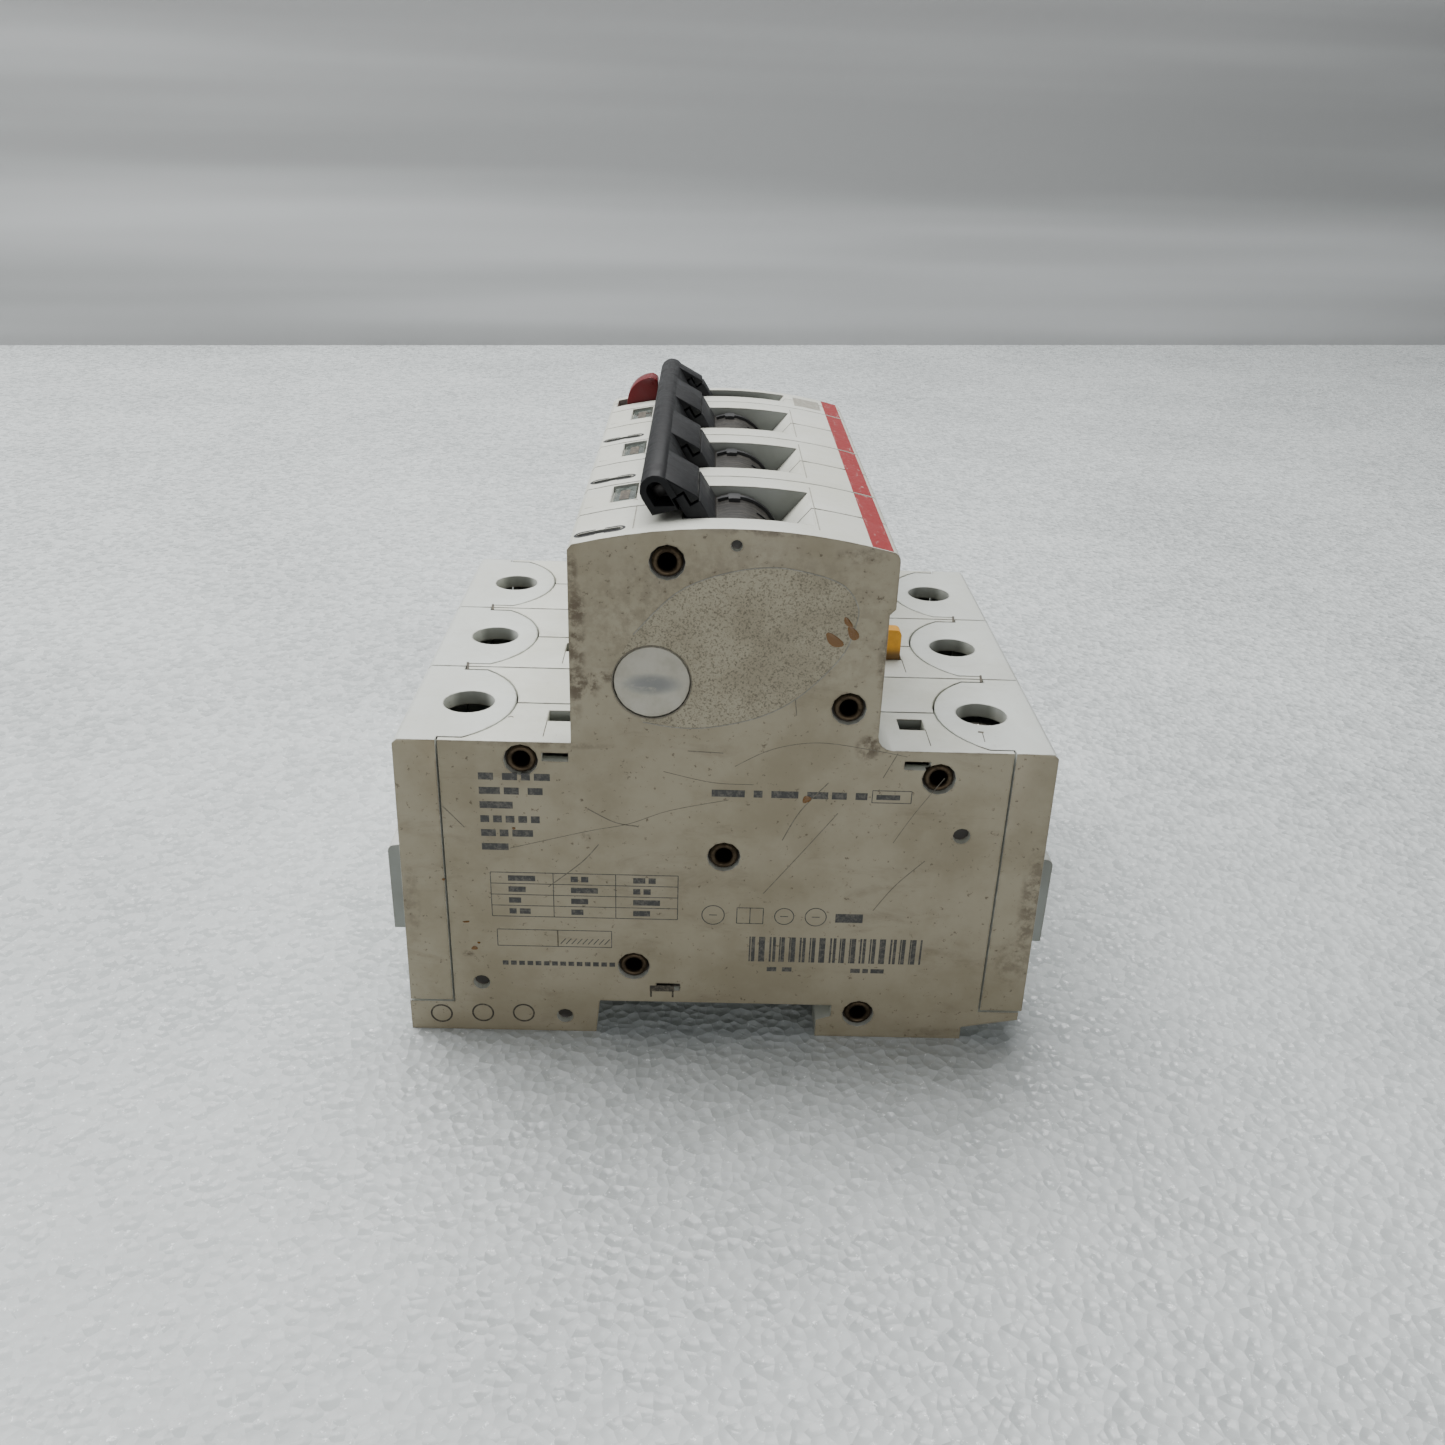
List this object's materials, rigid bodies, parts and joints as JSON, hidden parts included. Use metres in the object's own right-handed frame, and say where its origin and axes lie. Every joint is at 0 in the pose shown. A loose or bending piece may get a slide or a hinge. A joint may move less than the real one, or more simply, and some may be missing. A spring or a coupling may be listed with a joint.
{
  "type": "circuit breaker",
  "caption": "Rail-mounted breaker of joined poles with a tie-bar handle, screw clamp terminals, position windows and a narrow auxiliary module with a test lever.",
  "frame": {"origin": "centre of the bounding box's underside, on the plane of the feet", "axes": "+X from the line terminals to the load terminals, +Y along the row from the plain side to the auxiliary module, +Z from the rail to the handle"},
  "size_m": [0.1024, 0.0918, 0.0889],
  "materials": {
    "housing": "matt moulded thermoset, pale grey, soiled",
    "cap": "matt moulded plastic, pale grey",
    "handle": "fine-textured dark grey plastic",
    "hub": "dark plastic",
    "lens": "clear tinted window",
    "flag": "green plastic",
    "rivet": "darkened bronze-plated tube",
    "steel": "zinc-plated steel",
    "copper": "copper",
    "coil": "enamelled winding on a bobbin",
    "plug": "smooth pale plastic",
    "lever": "dark red plastic",
    "clip": "yellow plastic",
    "latch": "grey plastic"
  },
  "bodies": {
    "housing": {"pole_1_base_shell": "housing", "pole_1_cover_shell": "housing", "pole_1_line_cap": "cap", "pole_1_load_cap": "cap", "pole_1_window_lens": "lens", "pole_1_arc_chute": "steel", "pole_1_trip_coil": "coil", "pole_2_base_shell": "housing", "pole_2_cover_shell": "housing", "pole_2_line_cap": "cap", "pole_2_load_cap": "cap", "pole_2_window_lens": "lens", "pole_2_arc_chute": "steel", "pole_2_trip_coil": "coil", "pole_3_base_shell": "housing", "pole_3_cover_shell": "housing", "pole_3_line_cap": "cap", "pole_3_load_cap": "cap", "pole_3_window_lens": "lens", "pole_3_arc_chute": "steel", "pole_3_trip_coil": "coil", "rivet_1": "rivet", "rivet_2": "rivet", "rivet_3": "rivet", "rivet_4": "rivet", "rivet_5": "rivet", "rivet_6": "rivet", "rivet_7": "rivet", "side_plug": "plug", "clip_tab": "clip", "aux_base_shell": "housing", "aux_cover_shell": "housing"},
    "handle": {"handle_tie_bar": "handle", "handle_end_screw": "steel", "pole_1_toggle": "hub", "pole_2_toggle": "hub", "pole_3_toggle": "hub", "aux_toggle": "hub"},
    "pole_1_contact": {"pole_1_contact_arm": "copper"},
    "pole_1_flag": {"pole_1_position_flag": "flag"},
    "pole_1_latch": {"pole_1_rail_latch": "latch"},
    "pole_1_line_screw_body": {"pole_1_line_screw": "steel"},
    "pole_1_line_clamp_body": {"pole_1_line_clamp": "steel"},
    "pole_1_load_screw_body": {"pole_1_load_screw": "steel"},
    "pole_1_load_clamp_body": {"pole_1_load_clamp": "steel"},
    "pole_2_contact": {"pole_2_contact_arm": "copper"},
    "pole_2_flag": {"pole_2_position_flag": "flag"},
    "pole_2_latch": {"pole_2_rail_latch": "latch"},
    "pole_2_line_screw_body": {"pole_2_line_screw": "steel"},
    "pole_2_line_clamp_body": {"pole_2_line_clamp": "steel"},
    "pole_2_load_screw_body": {"pole_2_load_screw": "steel"},
    "pole_2_load_clamp_body": {"pole_2_load_clamp": "steel"},
    "pole_3_contact": {"pole_3_contact_arm": "copper"},
    "pole_3_flag": {"pole_3_position_flag": "flag"},
    "pole_3_latch": {"pole_3_rail_latch": "latch"},
    "pole_3_line_screw_body": {"pole_3_line_screw": "steel"},
    "pole_3_line_clamp_body": {"pole_3_line_clamp": "steel"},
    "pole_3_load_screw_body": {"pole_3_load_screw": "steel"},
    "pole_3_load_clamp_body": {"pole_3_load_clamp": "steel"},
    "test_lever": {"aux_test_lever": "lever"}
  },
  "joints": [
    {"name": "handle_hinge", "type": "hinge", "parent": "housing", "child": "handle", "pos_m": [0.0003, 0, 0.0759], "axis": [0, 1, 0], "range_deg": [0, 75]},
    {"name": "pole_1_contact_hinge", "type": "hinge", "parent": "housing", "child": "pole_1_contact", "pos_m": [0.006, -0.03275, 0.05], "axis": [0, 1, 0], "range_deg": [-12, 0]},
    {"name": "pole_1_flag_hinge", "type": "hinge", "parent": "housing", "child": "pole_1_flag", "pos_m": [-0.01575, -0.03275, 0.0695], "axis": [0, 1, 0], "range_deg": [0, 15]},
    {"name": "pole_1_latch_slide", "type": "slide", "parent": "housing", "child": "pole_1_latch", "axis": [-1, 0, 0], "range_m": [0, 0.004], "stiffness_N_per_m": 300},
    {"name": "pole_1_line_screw_turn", "type": "hinge", "parent": "housing", "child": "pole_1_line_screw_body", "pos_m": [-0.03875, -0.03275, 0.0438], "axis": [0, 0, -1], "range_deg": [0, 1350]},
    {"name": "pole_1_line_clamp_slide", "type": "slide", "parent": "housing", "child": "pole_1_line_clamp_body", "axis": [0, 0, 1], "range_m": [0, 0.003]},
    {"name": "pole_1_load_screw_turn", "type": "hinge", "parent": "housing", "child": "pole_1_load_screw_body", "pos_m": [0.03875, -0.03275, 0.0438], "axis": [0, 0, -1], "range_deg": [0, 1350]},
    {"name": "pole_1_load_clamp_slide", "type": "slide", "parent": "housing", "child": "pole_1_load_clamp_body", "axis": [0, 0, 1], "range_m": [0, 0.003]},
    {"name": "pole_2_contact_hinge", "type": "hinge", "parent": "housing", "child": "pole_2_contact", "pos_m": [0.006, -0.00625, 0.05], "axis": [0, 1, 0], "range_deg": [-12, 0]},
    {"name": "pole_2_flag_hinge", "type": "hinge", "parent": "housing", "child": "pole_2_flag", "pos_m": [-0.01575, -0.00625, 0.0695], "axis": [0, 1, 0], "range_deg": [0, 15]},
    {"name": "pole_2_latch_slide", "type": "slide", "parent": "housing", "child": "pole_2_latch", "axis": [-1, 0, 0], "range_m": [0, 0.004], "stiffness_N_per_m": 300},
    {"name": "pole_2_line_screw_turn", "type": "hinge", "parent": "housing", "child": "pole_2_line_screw_body", "pos_m": [-0.03875, -0.00625, 0.0438], "axis": [0, 0, -1], "range_deg": [0, 1350]},
    {"name": "pole_2_line_clamp_slide", "type": "slide", "parent": "housing", "child": "pole_2_line_clamp_body", "axis": [0, 0, 1], "range_m": [0, 0.003]},
    {"name": "pole_2_load_screw_turn", "type": "hinge", "parent": "housing", "child": "pole_2_load_screw_body", "pos_m": [0.03875, -0.00625, 0.0438], "axis": [0, 0, -1], "range_deg": [0, 1350]},
    {"name": "pole_2_load_clamp_slide", "type": "slide", "parent": "housing", "child": "pole_2_load_clamp_body", "axis": [0, 0, 1], "range_m": [0, 0.003]},
    {"name": "pole_3_contact_hinge", "type": "hinge", "parent": "housing", "child": "pole_3_contact", "pos_m": [0.006, 0.02025, 0.05], "axis": [0, 1, 0], "range_deg": [-12, 0]},
    {"name": "pole_3_flag_hinge", "type": "hinge", "parent": "housing", "child": "pole_3_flag", "pos_m": [-0.01575, 0.02025, 0.0695], "axis": [0, 1, 0], "range_deg": [0, 15]},
    {"name": "pole_3_latch_slide", "type": "slide", "parent": "housing", "child": "pole_3_latch", "axis": [-1, 0, 0], "range_m": [0, 0.004], "stiffness_N_per_m": 300},
    {"name": "pole_3_line_screw_turn", "type": "hinge", "parent": "housing", "child": "pole_3_line_screw_body", "pos_m": [-0.03875, 0.02025, 0.0438], "axis": [0, 0, -1], "range_deg": [0, 1350]},
    {"name": "pole_3_line_clamp_slide", "type": "slide", "parent": "housing", "child": "pole_3_line_clamp_body", "axis": [0, 0, 1], "range_m": [0, 0.003]},
    {"name": "pole_3_load_screw_turn", "type": "hinge", "parent": "housing", "child": "pole_3_load_screw_body", "pos_m": [0.03875, 0.02025, 0.0438], "axis": [0, 0, -1], "range_deg": [0, 1350]},
    {"name": "pole_3_load_clamp_slide", "type": "slide", "parent": "housing", "child": "pole_3_load_clamp_body", "axis": [0, 0, 1], "range_m": [0, 0.003]},
    {"name": "test_lever_hinge", "type": "hinge", "parent": "housing", "child": "test_lever", "pos_m": [-0.0162, 0.041, 0.0765], "axis": [0, -1, 0], "range_deg": [0, 12], "stiffness_Nm_per_rad": 0.02}
  ],
  "couplings": [
    {"joint": "pole_1_contact_hinge", "follows": "handle_hinge", "ratio": -0.16},
    {"joint": "pole_1_flag_hinge", "follows": "handle_hinge", "ratio": 0.2},
    {"joint": "pole_1_line_screw_turn", "follows": "pole_1_line_clamp_slide", "rad_per_m": 7853.9},
    {"joint": "pole_1_load_screw_turn", "follows": "pole_1_load_clamp_slide", "rad_per_m": 7853.9},
    {"joint": "pole_2_contact_hinge", "follows": "handle_hinge", "ratio": -0.16},
    {"joint": "pole_2_flag_hinge", "follows": "handle_hinge", "ratio": 0.2},
    {"joint": "pole_2_line_screw_turn", "follows": "pole_2_line_clamp_slide", "rad_per_m": 7853.9},
    {"joint": "pole_2_load_screw_turn", "follows": "pole_2_load_clamp_slide", "rad_per_m": 7853.9},
    {"joint": "pole_3_contact_hinge", "follows": "handle_hinge", "ratio": -0.16},
    {"joint": "pole_3_flag_hinge", "follows": "handle_hinge", "ratio": 0.2},
    {"joint": "pole_3_line_screw_turn", "follows": "pole_3_line_clamp_slide", "rad_per_m": 7853.9},
    {"joint": "pole_3_load_screw_turn", "follows": "pole_3_load_clamp_slide", "rad_per_m": 7853.9}
  ]
}
